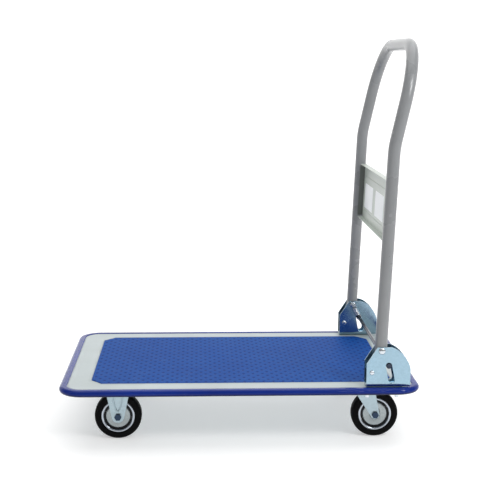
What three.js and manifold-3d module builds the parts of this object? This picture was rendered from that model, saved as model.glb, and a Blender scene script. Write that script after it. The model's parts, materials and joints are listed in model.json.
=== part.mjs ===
// Folding platform cart: steel deck on two fixed and two swivel casters, with a fold-down push handle.
// Millimetres. X runs along the deck with the handle at +X, Y across it, Z up, floor at z = 0.
import * as THREE from "three";
import { mergeVertices } from "three/addons/utils/BufferGeometryUtils.js";
import ManifoldModule from "manifold-3d";

const wasm = await ManifoldModule();
wasm.setup();

// Fit between separate pieces
const gap = 0.3;

// Deck
const deckLength = 740;
const deckWidth = 480;
const deckCorner = 49;
const panTop = 124.2;
const panSheet = 1.4;
const panDepth = 9.6;
const panInset = 6;
const bumperLip = 16.2;
const bumperBottom = 112.4;
const bumperTop = 126;
const matBack = 315.3;
const matFront = -307.3;
const matHalfWidth = 184.3;
const matThickness = 1.2;
const matCornerX = 24;
const matCornerY = 26;
const panUnderside = panTop - panSheet;

// Stiffening rails under the deck
const railLength = 650;
const railOffset = 95;
const railHeight = 16;
const railWidth = 44;
const railSheet = 1.5;
const crossRailX = 190;

// Handle
const pivotX = 286.1;
const pivotZ = 201.8;
const tubeRadius = 12.5;
const tubeWall = 1.3;
const tubeOffset = 211;
const lowerSlope = 0.0406;
const upperSlope = 0.2187;
const bendZ = 612.2;
const bendReach = 22;
const handleTop = 827.3;
const handleCorner = 119;
const stubLength = 22;
const plugInset = 1;
const plugLength = 12;
const panelBottom = 415.7;
const panelTop = 541;
const panelSheet = 1.5;
const panelFlange = 13;
const panelOffset = 11;

// Brackets
const bracketFront = 255.5;
const bracketBack = 345.3;
const bracketInner = 195;
const bracketOuter = 226.6;
const bracketSheet = 2.2;
const bracketBend = 9;
const bracketBase = panTop + gap;
const baseEnd = 329;
const slotTop = [300.9, 171.4];
const slotBottom = [306.9, 140.2];
const slotRadius = 6.5;
const stopX = 266.6;
const stopZ = 156.8;
const bracketBoltX = [260, 321];
const bracketBoltTip = 101;

// Release bar and its springs
const barRadius = 4;
const barEndRadius = 6;
const barReach = 229.5;
const springOffset = 186;
const springRadius = 4.6;
const springWire = 0.8;
const springTurns = 7;

// Casters
const wheelRadius = 49;
const wheelWidth = 25;
const axleZ = wheelRadius;
const casterOffset = 153.4;
const fixedAxleX = -252.9;
const swivelAxleX = 284.5;
const trail = 27;
const kingpinX = swivelAxleX - trail;
const forkHalfWidth = 17.6;
const forkSheet = 2.4;
const axleRadius = 4;
const bushRadius = 6.8;
const plateLength = 90;
const plateWidth = 64;
const plateThickness = 3;
const plateTop = panUnderside - gap;
const plateBottom = plateTop - plateThickness;
const crownTop = 110.2;
const crownBottom = 107.4;

// Solid helpers

function toSolid(geometry) {
  geometry.deleteAttribute("normal");
  geometry.deleteAttribute("uv");
  const merged = mergeVertices(geometry, 1e-4);
  const mesh = new wasm.Mesh({
    numProp: 3,
    vertProperties: new Float32Array(merged.attributes.position.array),
    triVerts: new Uint32Array(merged.index.array),
  });
  return new wasm.Manifold(mesh);
}

function toGeometry(solid) {
  const mesh = solid.getMesh();
  const geometry = new THREE.BufferGeometry();
  geometry.setAttribute("position", new THREE.BufferAttribute(new Float32Array(mesh.vertProperties), 3));
  geometry.setIndex(new THREE.BufferAttribute(new Uint32Array(mesh.triVerts), 1));
  geometry.computeVertexNormals();
  return geometry;
}

function shapeFrom(points) {
  return new THREE.Shape(points.map(([u, v]) => new THREE.Vector2(u, v)));
}

// Outline in x, y, thickened from z0 to z1.
function slabZ(points, z0, z1) {
  const geometry = new THREE.ExtrudeGeometry(shapeFrom(points), { depth: z1 - z0, bevelEnabled: false });
  geometry.translate(0, 0, z0);
  return toSolid(geometry);
}

// Outline in x, z, thickened from y0 to y1.
function slabY(points, y0, y1) {
  const geometry = new THREE.ExtrudeGeometry(shapeFrom(points), { depth: y1 - y0, bevelEnabled: false });
  geometry.rotateX(Math.PI / 2);
  geometry.translate(0, y1, 0);
  return toSolid(geometry);
}

// Outline in y, z, thickened from x0 to x1.
function slabX(points, x0, x1) {
  const geometry = new THREE.ExtrudeGeometry(shapeFrom(points), { depth: x1 - x0, bevelEnabled: false });
  const turn = new THREE.Matrix4().makeBasis(
    new THREE.Vector3(0, 1, 0),
    new THREE.Vector3(0, 0, 1),
    new THREE.Vector3(1, 0, 0),
  );
  geometry.applyMatrix4(turn);
  geometry.translate(x0, 0, 0);
  return toSolid(geometry);
}

function barY(radius, x, z, y0, y1, sides = 16) {
  const geometry = new THREE.CylinderGeometry(radius, radius, Math.abs(y1 - y0), sides);
  geometry.translate(x, (y0 + y1) / 2, z);
  return toSolid(geometry);
}

function barZ(radius, x, y, z0, z1, sides = 16) {
  const geometry = new THREE.CylinderGeometry(radius, radius, z1 - z0, sides);
  geometry.rotateX(Math.PI / 2);
  geometry.translate(x, y, (z0 + z1) / 2);
  return toSolid(geometry);
}

// Closed profile of [radius, y] pairs, turned about a line along Y through x, z.
function turnedY(profile, x, y, z, segments) {
  const points = profile.map(([r, v]) => new THREE.Vector2(r, v));
  points.push(points[0].clone());
  const geometry = new THREE.LatheGeometry(points, segments);
  geometry.translate(x, y, z);
  return toSolid(geometry);
}

// Round bar of the given radius along a list of Vector3, closed at both ends.
function sweep(path, radius, sides) {
  const positions = [];
  const index = [];
  const last = path.length - 1;
  const tangent = (i) => path[Math.min(i + 1, last)].clone().sub(path[Math.max(i - 1, 0)]).normalize();
  let side = new THREE.Vector3(0, 1, 0).cross(tangent(0));
  if (side.length() < 0.2) {
    side = new THREE.Vector3(1, 0, 0).cross(tangent(0));
  }
  for (let i = 0; i <= last; i += 1) {
    const along = tangent(i);
    side.addScaledVector(along, -side.dot(along)).normalize();
    const up = along.clone().cross(side);
    for (let k = 0; k < sides; k += 1) {
      const angle = (2 * Math.PI * k) / sides;
      const point = path[i].clone();
      point.addScaledVector(side, radius * Math.cos(angle));
      point.addScaledVector(up, radius * Math.sin(angle));
      positions.push(point.x, point.y, point.z);
    }
  }
  for (let i = 0; i < last; i += 1) {
    for (let k = 0; k < sides; k += 1) {
      const a = i * sides + k;
      const b = i * sides + ((k + 1) % sides);
      index.push(a, b, b + sides, a, b + sides, a + sides);
    }
  }
  for (let k = 1; k < sides - 1; k += 1) {
    index.push(0, k + 1, k);
    index.push(last * sides, last * sides + k, last * sides + k + 1);
  }
  const geometry = new THREE.BufferGeometry();
  geometry.setAttribute("position", new THREE.Float32BufferAttribute(positions, 3));
  geometry.setIndex(index);
  return toSolid(geometry);
}

function roundedRectangle(halfX, halfY, radius, steps = 6) {
  const points = [];
  const corners = [[1, 1, 0], [-1, 1, 90], [-1, -1, 180], [1, -1, 270]];
  for (const [signX, signY, start] of corners) {
    for (let i = 0; i <= steps; i += 1) {
      const angle = THREE.MathUtils.degToRad(start + (90 * i) / steps);
      const x = signX * (halfX - radius) + radius * Math.cos(angle);
      const y = signY * (halfY - radius) + radius * Math.sin(angle);
      points.push([x, y]);
    }
  }
  return points;
}

// Closed profile of [inset, z] pairs carried round a rounded rectangle.
function edgeRing(profile, halfX, halfY, radius) {
  const positions = [];
  const index = [];
  const loops = profile.map(([inset]) => roundedRectangle(halfX - inset, halfY - inset, radius - inset));
  const count = loops[0].length;
  profile.forEach(([, z], row) => {
    loops[row].forEach(([x, y]) => positions.push(x, y, z));
  });
  for (let row = 0; row < profile.length; row += 1) {
    const next = (row + 1) % profile.length;
    for (let k = 0; k < count; k += 1) {
      const after = (k + 1) % count;
      const a = row * count + k;
      const b = row * count + after;
      const c = next * count + after;
      const d = next * count + k;
      index.push(a, b, c, a, c, d);
    }
  }
  const geometry = new THREE.BufferGeometry();
  geometry.setAttribute("position", new THREE.Float32BufferAttribute(positions, 3));
  geometry.setIndex(index);
  return toSolid(geometry);
}

function hexagon(radius) {
  return Array.from({ length: 6 }, (_, i) => {
    const angle = (i * Math.PI) / 3;
    return [radius * Math.cos(angle), radius * Math.sin(angle)];
  });
}

function arcPoints(centreU, centreV, radius, from, to, steps) {
  return Array.from({ length: steps + 1 }, (_, i) => {
    const angle = THREE.MathUtils.degToRad(from + ((to - from) * i) / steps);
    return [centreU + radius * Math.cos(angle), centreV + radius * Math.sin(angle)];
  });
}

// Materials and the group

const finishes = {
  border: { color: 0xc4cabf, roughness: 0.4, metalness: 0.2 },
  mat: { color: 0x1c3f9c, roughness: 0.55, metalness: 0 },
  bumper: { color: 0x17309a, roughness: 0.25, metalness: 0 },
  tube: { color: 0x85888a, roughness: 0.45, metalness: 0.3 },
  panel: { color: 0xb4bdb4, roughness: 0.45, metalness: 0.2 },
  zinc: { color: 0xa9bfca, roughness: 0.35, metalness: 0.8 },
  bright: { color: 0xc8ccd0, roughness: 0.25, metalness: 0.9 },
  hub: { color: 0xb3aea6, roughness: 0.45, metalness: 0.6 },
  rubber: { color: 0x101010, roughness: 0.7, metalness: 0 },
  bush: { color: 0x3a3d40, roughness: 0.6, metalness: 0.3 },
};

const cart = new THREE.Group();
cart.name = "folding_platform_cart";

function addPiece(name, solid, finish) {
  const mesh = new THREE.Mesh(toGeometry(solid), new THREE.MeshStandardMaterial(finishes[finish]));
  mesh.name = name;
  cart.add(mesh);
}

// Deck

const halfLength = deckLength / 2;
const halfWidth = deckWidth / 2;

function buildDeck() {
  const shell = (inset, z0, z1) => {
    return slabZ(roundedRectangle(halfLength - inset, halfWidth - inset, deckCorner - inset), z0, z1);
  };
  let pan = shell(panInset, panTop - panDepth, panTop);
  pan = pan.subtract(shell(panInset + panSheet, panTop - panDepth + panSheet, panUnderside));
  pan = pan.subtract(shell(panInset + 9, panTop - panDepth - 1, panTop - panDepth + 2 * panSheet));
  for (const side of [-1, 1]) {
    for (const x of bracketBoltX) {
      pan = pan.subtract(barZ(axleRadius + gap, x, (side * (bracketInner + bracketOuter)) / 2, 100, 130));
    }
  }
  addPiece("deck_pan", pan, "border");

  const mat = [
    [matFront + matCornerX, -matHalfWidth],
    [matBack - matCornerX, -matHalfWidth],
    [matBack, -matHalfWidth + matCornerY],
    [matBack, matHalfWidth - matCornerY],
    [matBack - matCornerX, matHalfWidth],
    [matFront + matCornerX, matHalfWidth],
    [matFront, matHalfWidth - matCornerY],
    [matFront, -matHalfWidth + matCornerY],
  ];
  addPiece("deck_mat", slabZ(mat, panTop + gap, panTop + gap + matThickness), "mat");

  const throat = panInset - gap;
  const panBottom = panTop - panDepth - gap;
  const bumper = [
    [0, 118.4],
    [0.4, 121.4],
    [1.8, 124.2],
    [4.6, bumperTop],
    [bumperLip - 2, bumperTop],
    [bumperLip, bumperTop - 0.9],
    [bumperLip, panTop + gap],
    [throat, panTop + gap],
    [throat, panBottom],
    [bumperLip - 1, panBottom],
    [bumperLip - 1, bumperBottom + 0.6],
    [bumperLip - 2, bumperBottom],
    [5, bumperBottom],
    [2, bumperBottom + 1.1],
    [0.5, bumperBottom + 3],
  ];
  addPiece("edge_bumper", edgeRing(bumper, halfLength, halfWidth, deckCorner), "bumper");
}

function hatProfile(width, height, sheet, top) {
  const flange = 10;
  const half = width / 2;
  const web = half - flange;
  return [
    [-half, top],
    [-half, top - sheet],
    [-web - sheet, top - sheet],
    [-web - sheet, top - height],
    [web + sheet, top - height],
    [web + sheet, top - sheet],
    [half, top - sheet],
    [half, top],
    [web, top],
    [web, top - height + sheet],
    [-web, top - height + sheet],
    [-web, top],
  ];
}

function buildRails() {
  const profile = hatProfile(railWidth, railHeight, railSheet, panUnderside - gap);
  const sides = [["near", -1], ["far", 1]];
  for (const [label, side] of sides) {
    const shifted = profile.map(([y, z]) => [y + side * railOffset, z]);
    addPiece(`side_rail_${label}`, slabX(shifted, -railLength / 2, railLength / 2), "zinc");
  }
  const reach = railOffset - railWidth / 2 - gap;
  const ends = [["front", -1], ["rear", 1]];
  for (const [label, end] of ends) {
    const shifted = profile.map(([x, z]) => [x + end * crossRailX, z]);
    addPiece(`cross_rail_${label}`, slabY(shifted, -reach, reach), "zinc");
  }
}

// Handle

function legX(z) {
  const bendX = pivotX + lowerSlope * (bendZ - pivotZ);
  return z < bendZ ? pivotX + lowerSlope * (z - pivotZ) : bendX + upperSlope * (z - bendZ);
}

// Centre line of the near leg, from its lower end up to the start of the top corner.
function legPath(lowerEnd, topStart) {
  const points = [];
  const add = (z) => points.push(new THREE.Vector3(legX(z), -tubeOffset, z));
  add(lowerEnd);
  add(bendZ - bendReach);
  for (let i = 1; i < 5; i += 1) {
    const t = i / 5;
    const below = [legX(bendZ - bendReach), bendZ - bendReach];
    const above = [legX(bendZ + bendReach), bendZ + bendReach];
    const middle = [legX(bendZ), bendZ];
    const x = (1 - t) ** 2 * below[0] + 2 * t * (1 - t) * middle[0] + t ** 2 * above[0];
    const z = (1 - t) ** 2 * below[1] + 2 * t * (1 - t) * middle[1] + t ** 2 * above[1];
    points.push(new THREE.Vector3(x, -tubeOffset, z));
  }
  add(bendZ + bendReach);
  add(topStart);
  return points;
}

function handlePath(extra) {
  const upright = Math.hypot(1, upperSlope);
  const topZ = handleTop - tubeRadius;
  const cornerZ = topZ - handleCorner / upright;
  const leg = legPath(pivotZ - stubLength - extra, cornerZ);
  const corner = [];
  for (let i = 1; i <= 8; i += 1) {
    const angle = (i / 8) * (Math.PI / 2);
    const z = cornerZ + (handleCorner * Math.sin(angle)) / upright;
    const y = -tubeOffset + handleCorner * (1 - Math.cos(angle));
    corner.push(new THREE.Vector3(legX(z), y, z));
  }
  const half = [...leg, ...corner];
  const mirrored = half.map((p) => new THREE.Vector3(p.x, -p.y, p.z)).reverse();
  return [...half, ...mirrored];
}

function buildHandle() {
  let tube = sweep(handlePath(0), tubeRadius, 16);
  tube = tube.subtract(sweep(handlePath(5), tubeRadius - tubeWall, 16));
  tube = tube.subtract(barY(axleRadius + gap, pivotX, pivotZ, -240, 240));
  addPiece("handle_tube", tube, "tube");

  for (const [label, side] of [["near", -1], ["far", 1]]) {
    const ends = [pivotZ - stubLength + plugInset, pivotZ - stubLength + plugInset + plugLength];
    const path = ends.map((z) => new THREE.Vector3(legX(z), side * tubeOffset, z));
    addPiece(`tube_plug_${label}`, sweep(path, tubeRadius - tubeWall - gap, 16), "rubber");
  }

  // A tray: a sheet with four flanges turned towards the deck, leaning with the tubes.
  const reach = tubeOffset - tubeRadius - gap;
  const outline = (front, back, low, high) => [
    [legX(low) + front, low],
    [legX(low) + back, low],
    [legX(high) + back, high],
    [legX(high) + front, high],
  ];
  const front = panelOffset - panelFlange;
  let panel = slabY(outline(front, panelOffset, panelBottom, panelTop), -reach, reach);
  const inside = outline(
    front - 1,
    panelOffset - panelSheet,
    panelBottom + panelSheet,
    panelTop - panelSheet,
  );
  panel = panel.subtract(slabY(inside, -reach + panelSheet, reach - panelSheet));
  for (const side of [-1, 1]) {
    for (const z of [panelBottom, panelTop]) {
      const notch = outline(front - 1, panelOffset - panelSheet - 1, z - 4, z + 4);
      const y = side * (reach - 2);
      panel = panel.subtract(slabY(notch, y - 5, y + 5));
    }
  }
  addPiece("handle_panel", panel, "panel");
}

// Brackets, lock and springs

function slotOutline(radius) {
  const [x0, z0] = slotTop;
  const [x1, z1] = slotBottom;
  const lean = THREE.MathUtils.radToDeg(Math.atan2(z0 - z1, x0 - x1)) - 90;
  return [
    ...arcPoints(x0, z0, radius, lean, lean + 180, 6),
    ...arcPoints(x1, z1, radius, lean + 180, lean + 360, 6),
  ];
}

function cheekOutline() {
  return [
    [bracketFront, bracketBase - 1],
    [bracketBack, bracketBase - 1],
    [bracketBack, 163],
    [344.3, 168.5],
    [341.6, 176],
    [334.8, 188],
    [328, 196],
    [320, 202.6],
    [313, 206.8],
    [306, 209.4],
    [277.5, 209.4],
    [bracketFront, 175],
  ];
}

function channelProfile(side) {
  const inner = bracketBend - bracketSheet;
  const low = bracketBase + bracketBend;
  const nearFace = bracketInner + bracketBend;
  const farFace = bracketOuter - bracketBend;
  const points = [
    [bracketInner, 215],
    ...arcPoints(nearFace, low, bracketBend, 180, 270, 5),
    ...arcPoints(farFace, low, bracketBend, 270, 360, 5),
    [bracketOuter, 215],
    [bracketOuter - bracketSheet, 215],
    ...arcPoints(farFace, low, inner, 360, 270, 5),
    ...arcPoints(nearFace, low, inner, 270, 180, 5),
    [bracketInner + bracketSheet, 215],
  ];
  return points.map(([y, z]) => [side * y, z]);
}

function between(side, a, b) {
  return [Math.min(side * a, side * b), Math.max(side * a, side * b)];
}

function buildBracket(label, side) {
  const middle = (side * (bracketInner + bracketOuter)) / 2;
  let bracket = slabX(channelProfile(side), bracketFront, bracketBack);
  bracket = bracket.intersect(slabY(cheekOutline(), -240, 240));
  bracket = bracket.subtract(slabY(slotOutline(slotRadius), -240, 240));
  bracket = bracket.subtract(barY(axleRadius + gap, pivotX, pivotZ, -240, 240));
  bracket = bracket.subtract(barY(3 + gap, stopX, stopZ, -240, 240));
  for (const x of bracketBoltX) {
    bracket = bracket.subtract(barZ(axleRadius + gap, x, middle, 120, 130));
  }
  // The base stops short of the rounded corner, where the cheeks pass over the edge trim.
  const corner = [[baseEnd, 120], [bracketBack + 1, 120], [bracketBack + 1, 127.5], [baseEnd, 127.5]];
  bracket = bracket.subtract(slabY(corner, -240, 240));
  addPiece(`bracket_${label}`, bracket, "zinc");

  const head = bracketOuter + gap;
  let bolt = barY(axleRadius, pivotX, pivotZ, side * (head + 1), side * 182.5);
  bolt = bolt.add(barY(7, pivotX, pivotZ, side * head, side * (head + 2.2)));
  bolt = bolt.add(barY(5, pivotX, pivotZ, side * head, side * (head + 3.8)));
  addPiece(`pivot_bolt_${label}`, bolt, "bright");

  const nutSpan = between(side, bracketInner - gap, bracketInner - gap - 5);
  const nutOutline = hexagon(7.5).map(([x, z]) => [x + pivotX, z + pivotZ]);
  let nut = slabY(nutOutline, ...nutSpan);
  nut = nut.subtract(barY(axleRadius + gap, pivotX, pivotZ, -240, 240));
  addPiece(`pivot_nut_${label}`, nut, "bright");

  let stop = barY(3, stopX, stopZ, side * (bracketInner - gap - 1), side * (head + 1));
  stop = stop.add(barY(5, stopX, stopZ, side * head, side * (head + 2.2)));
  stop = stop.add(barY(5, stopX, stopZ, side * (bracketInner - gap), side * (bracketInner - gap - 2.2)));
  const spacer = [bracketInner + bracketSheet + gap, bracketOuter - bracketSheet - gap];
  stop = stop.add(barY(6, stopX, stopZ, side * spacer[0], side * spacer[1]));
  addPiece(`stop_pin_${label}`, stop, "bright");

  const washer = bracketBase + bracketSheet + gap;
  bracketBoltX.forEach((x, i) => {
    const end = i === 0 ? "front" : "rear";
    let screw = barZ(axleRadius, x, middle, bracketBoltTip, washer + 1, 12);
    screw = screw.add(slabZ(hexagon(6.4).map(([u, v]) => [u + x, v + middle]), washer, washer + 5));
    addPiece(`bracket_bolt_${label}_${end}`, screw, "bright");
    let lock = slabZ(hexagon(7.5).map(([u, v]) => [u + x, v + middle]), plateTop - 6.5, plateTop);
    lock = lock.subtract(barZ(axleRadius + gap, x, middle, 100, 130, 12));
    addPiece(`bracket_nut_${label}_${end}`, lock, "bright");
  });
}

function buildRelease() {
  const [x, z] = slotTop;
  let bar = barY(barRadius, x, z, -195, 195);
  for (const side of [-1, 1]) {
    bar = bar.add(barY(barEndRadius, x, z, side * 190.5, side * barReach));
  }
  addPiece("release_bar", bar, "zinc");
}

// Extension spring: a hook round the pivot bolt, a coil, and a hook round the release bar.
function buildSpring(label, side) {
  const start = new THREE.Vector3(pivotX, 0, pivotZ);
  const finish = new THREE.Vector3(slotTop[0], 0, slotTop[1]);
  const along = finish.clone().sub(start).normalize();
  const across = new THREE.Vector3(along.z, 0, -along.x);
  const length = start.distanceTo(finish);
  const y = side * springOffset;
  const hookRadius = axleRadius + springWire + gap;
  const place = (base, a, b, c) => {
    const point = base.clone().addScaledVector(along, a).addScaledVector(across, b);
    point.y = y + c;
    return point;
  };
  const path = [];
  for (let i = 0; i <= 8; i += 1) {
    const angle = THREE.MathUtils.degToRad(60 + 30 * i);
    path.push(place(start, hookRadius * Math.cos(angle), hookRadius * Math.sin(angle), 0));
  }
  const coilStart = hookRadius + 3;
  const coilLength = length - 2 * coilStart;
  const steps = springTurns * 10;
  for (let i = 0; i <= steps; i += 1) {
    const angle = (2 * Math.PI * i) / 10 - Math.PI / 2;
    const a = coilStart + (coilLength * i) / steps;
    path.push(place(start, a, springRadius * Math.sin(angle), springRadius * Math.cos(angle)));
  }
  for (let i = 0; i <= 8; i += 1) {
    const angle = THREE.MathUtils.degToRad(240 + 30 * i);
    path.push(place(finish, hookRadius * Math.cos(angle), hookRadius * Math.sin(angle), 0));
  }
  addPiece(`release_spring_${label}`, sweep(path, springWire, 5), "bright");
}

// Casters

function plateOutline(x, y) {
  const corners = roundedRectangle(plateLength / 2, plateWidth / 2, 6, 2);
  return corners.map(([u, v]) => [u + x, v + y]);
}

function plateHoles(solid, x, y) {
  let drilled = solid;
  for (const [u, v] of [[-36, -23], [36, -23], [36, 23], [-36, 23]]) {
    drilled = drilled.subtract(barZ(4.3, x + u, y + v, plateBottom - 1, plateTop + 1, 10));
  }
  return drilled;
}

// Both legs of a fork, cut to one outline in x, z, with the axle hole.
function forkLegs(outline, axleX, y) {
  const outer = slabY(outline, y - forkHalfWidth, y + forkHalfWidth);
  const inner = forkHalfWidth - forkSheet;
  const legs = outer.subtract(slabY(outline, y - inner, y + inner));
  return legs.subtract(barY(axleRadius + gap, axleX, axleZ, y - 30, y + 30));
}

function buildWheel(label, x, y) {
  const half = wheelWidth / 2;
  const bore = bushRadius + gap;
  const rim = [
    [bore, -14.2],
    [10.5, -14.2],
    [10.5, -11.2],
    [24.5, -10.6],
    [26, -9.4],
    [26.6, -5.5],
    [29.6, -5.5],
    [30.2, -11.4],
    [34.2, -12.2],
    [35, -11.4],
    [35, 11.4],
    [34.2, 12.2],
    [30.2, 11.4],
    [29.6, 5.5],
    [26.6, 5.5],
    [26, 9.4],
    [24.5, 10.6],
    [10.5, 11.2],
    [10.5, 14.2],
    [bore, 14.2],
  ];
  addPiece(`wheel_rim_${label}`, turnedY(rim, x, y, axleZ, 24), "hub");
  const inner = 35 + gap;
  const tyre = [
    [inner, -half],
    [44.5, -half],
    [47.4, -half + 2],
    [wheelRadius, -half + 6],
    [wheelRadius, half - 6],
    [47.4, half - 2],
    [44.5, half],
    [inner, half],
  ];
  addPiece(`wheel_tyre_${label}`, turnedY(tyre, x, y, axleZ, 40), "rubber");
}

function buildAxle(label, x, y, side) {
  const reach = forkHalfWidth + gap;
  const inner = forkHalfWidth - forkSheet - gap;
  let bolt = barY(axleRadius, x, axleZ, y - side * (reach + 6.5), y + side * (reach + 1));
  const headSpan = between(side, reach, reach + 4.5).map((v) => v + y);
  bolt = bolt.add(slabY(hexagon(7.5).map(([u, v]) => [u + x, v + axleZ]), ...headSpan));
  addPiece(`axle_bolt_${label}`, bolt, "bright");

  const nutSpan = between(side, -reach - 5.5, -reach).map((v) => v + y);
  let nut = slabY(hexagon(7.5).map(([u, v]) => [u + x, v + axleZ]), ...nutSpan);
  nut = nut.subtract(barY(axleRadius + gap, x, axleZ, y - 40, y + 40));
  addPiece(`axle_nut_${label}`, nut, "bright");

  let bush = barY(bushRadius, x, axleZ, y - inner, y + inner, 24);
  bush = bush.subtract(barY(axleRadius + gap, x, axleZ, y - 40, y + 40));
  addPiece(`axle_bush_${label}`, bush, "bush");
}

function buildFixedCaster(label, side) {
  const x = fixedAxleX;
  const y = side * casterOffset;
  const outline = [
    ...arcPoints(x, axleZ, 13, 195, 345, 6),
    [x + 28.5, plateBottom + 1.5],
    [x - 28.5, plateBottom + 1.5],
  ];
  let fork = plateHoles(slabZ(plateOutline(x, y), plateBottom, plateTop), x, y);
  fork = fork.add(forkLegs(outline, x, y));
  addPiece(`fixed_fork_${label}`, fork, "zinc");
  buildAxle(`front_${label}`, x, y, side);
  buildWheel(`front_${label}`, x, y);
}

function buildSwivelCaster(label, side) {
  const x = swivelAxleX;
  const y = side * casterOffset;
  let plate = plateHoles(slabZ(plateOutline(kingpinX, y), plateBottom, plateTop), kingpinX, y);
  plate = plate.add(barZ(25.5, kingpinX, y, plateBottom - 6.2, plateBottom + 1, 28));
  plate = plate.subtract(barZ(22.5, kingpinX, y, plateBottom - 7, plateBottom, 28));
  plate = plate.subtract(barZ(5 + gap, kingpinX, y, plateBottom - 1, plateTop + 1));
  addPiece(`swivel_plate_${label}`, plate, "zinc");

  let race = barZ(19, kingpinX, y, crownTop + gap, plateBottom - gap, 24);
  race = race.subtract(barZ(9, kingpinX, y, crownTop - 1, plateBottom + 1, 16));
  addPiece(`swivel_race_${label}`, race, "bright");

  let pin = barZ(5, kingpinX, y, crownBottom - gap - 2, plateTop);
  pin = pin.add(barZ(9, kingpinX, y, crownBottom - gap - 3, crownBottom - gap));
  addPiece(`swivel_kingpin_${label}`, pin, "bright");

  const outline = [
    ...arcPoints(x, axleZ, 9.2, 200, 372, 8),
    [x - 3, crownTop],
    [x - 50.5, crownTop],
  ];
  let fork = slabZ(
    [
      ...arcPoints(kingpinX, y, 24, -47, 47, 5),
      ...arcPoints(kingpinX, y, 24, 133, 227, 5),
    ],
    crownBottom,
    crownTop,
  );
  fork = fork.add(forkLegs(outline, x, y));
  fork = fork.subtract(barZ(5 + gap, kingpinX, y, crownBottom - 1, crownTop + 1));
  addPiece(`swivel_fork_${label}`, fork, "zinc");
  buildAxle(`rear_${label}`, x, y, side);
  buildWheel(`rear_${label}`, x, y);
}

// Assembly

buildDeck();
buildRails();
buildHandle();
buildRelease();
for (const [label, side] of [["near", -1], ["far", 1]]) {
  buildBracket(label, side);
  buildSpring(label, side);
  buildFixedCaster(label, side);
  buildSwivelCaster(label, side);
}

export default cart;
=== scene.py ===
import bpy
import bmesh
import json
import math
import numpy as np
from mathutils import Matrix, Vector


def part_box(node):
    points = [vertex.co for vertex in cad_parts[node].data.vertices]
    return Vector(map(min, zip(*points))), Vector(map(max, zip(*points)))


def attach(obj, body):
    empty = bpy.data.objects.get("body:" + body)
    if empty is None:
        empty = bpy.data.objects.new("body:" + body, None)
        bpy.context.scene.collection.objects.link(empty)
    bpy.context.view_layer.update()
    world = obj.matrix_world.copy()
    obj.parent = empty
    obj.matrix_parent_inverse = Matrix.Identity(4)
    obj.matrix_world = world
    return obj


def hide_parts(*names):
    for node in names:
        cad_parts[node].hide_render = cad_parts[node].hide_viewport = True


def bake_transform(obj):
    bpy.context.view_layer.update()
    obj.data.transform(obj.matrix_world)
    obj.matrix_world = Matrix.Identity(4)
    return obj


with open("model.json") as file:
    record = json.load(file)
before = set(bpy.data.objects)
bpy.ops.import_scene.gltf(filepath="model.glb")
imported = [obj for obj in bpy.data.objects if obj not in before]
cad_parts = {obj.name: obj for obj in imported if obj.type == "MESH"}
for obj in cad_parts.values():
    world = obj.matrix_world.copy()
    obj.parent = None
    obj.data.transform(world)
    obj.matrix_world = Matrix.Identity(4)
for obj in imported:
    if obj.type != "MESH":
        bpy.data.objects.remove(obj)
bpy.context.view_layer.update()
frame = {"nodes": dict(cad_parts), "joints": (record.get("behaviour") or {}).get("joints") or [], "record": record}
mm = 0.001
bodyOf = {node: body for body, nodes in frame["record"]["behaviour"]["bodies"].items() for node in nodes}
print("frame loaded:", len(frame["nodes"]), "nodes")


# mesh helpers, sizes in millimetres until the mesh is made

# Puts points and faces in a mesh, turns it so that its faces point away from its middle,
# scales it to metres, smooths it up to the sharp angle, and rides it on a body.
def makePiece(name, points, faces, material, body, replaces=(), sharp=35):
    points = np.asarray(points, float).reshape(-1, 3) * mm
    mesh = bpy.data.meshes.new(name)
    mesh.from_pydata(points.tolist(), [], [list(f) for f in faces])
    mesh.update()
    turnOutward(mesh)
    return finishPiece(name, mesh, material, body, replaces, sharp)


# A piece made with no body is left unattached.
def finishPiece(name, mesh, material, body, replaces=(), sharp=35):
    mesh.polygons.foreach_set("use_smooth", np.ones(len(mesh.polygons), bool))
    mesh.set_sharp_from_angle(angle=math.radians(sharp))
    piece = bpy.data.objects.new(name, mesh)
    bpy.context.scene.collection.objects.link(piece)
    piece.data.materials.clear()
    piece.data.materials.append(material)
    if body:
        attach(piece, body)
    if replaces:
        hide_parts(*replaces)
    return piece


# Adds up, over the faces, the area times how far the normal looks away from the middle.
# Below zero, all the faces are flipped.
def turnOutward(mesh):
    count = len(mesh.polygons)
    normal = np.zeros(count * 3)
    centre = np.zeros(count * 3)
    area = np.zeros(count)
    mesh.polygons.foreach_get("normal", normal)
    mesh.polygons.foreach_get("center", centre)
    mesh.polygons.foreach_get("area", area)
    normal = normal.reshape(-1, 3)
    centre = centre.reshape(-1, 3)
    away = ((centre - centre.mean(0)) * normal).sum(1) * area
    if away.sum() < 0:
        mesh.flip_normals()


# Quads of a grid whose point (r, c) has index r * columns + c.
def gridFaces(rows, columns, closeRows=False, closeColumns=False):
    r = np.arange(rows if closeRows else rows - 1)
    c = np.arange(columns if closeColumns else columns - 1)
    r, c = np.meshgrid(r, c, indexing="ij")
    nextR = (r + 1) % rows
    nextC = (c + 1) % columns
    quads = np.stack([r * columns + c, r * columns + nextC,
                      nextR * columns + nextC, nextR * columns + c], -1)
    return quads.reshape(-1, 4).tolist()


# Profile of (radius, distance along the axis), carried round the axis through centre.
# A radius of nought closes to a pole.
def turned(profile, centre, axis, segments):
    profile = np.asarray(profile, float)
    angle = np.linspace(0, 2 * math.pi, segments, endpoint=False)
    radius = profile[:, 0][:, None]
    along = np.broadcast_to(profile[:, 1][:, None], (len(profile), segments))
    u = radius * np.cos(angle)
    v = radius * np.sin(angle)
    order = {"x": (along, u, v), "y": (v, along, u), "z": (u, v, along)}[axis]
    points = np.stack(order, -1) + np.asarray(centre, float)
    return points, gridFaces(len(profile), segments, closeColumns=True)


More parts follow.
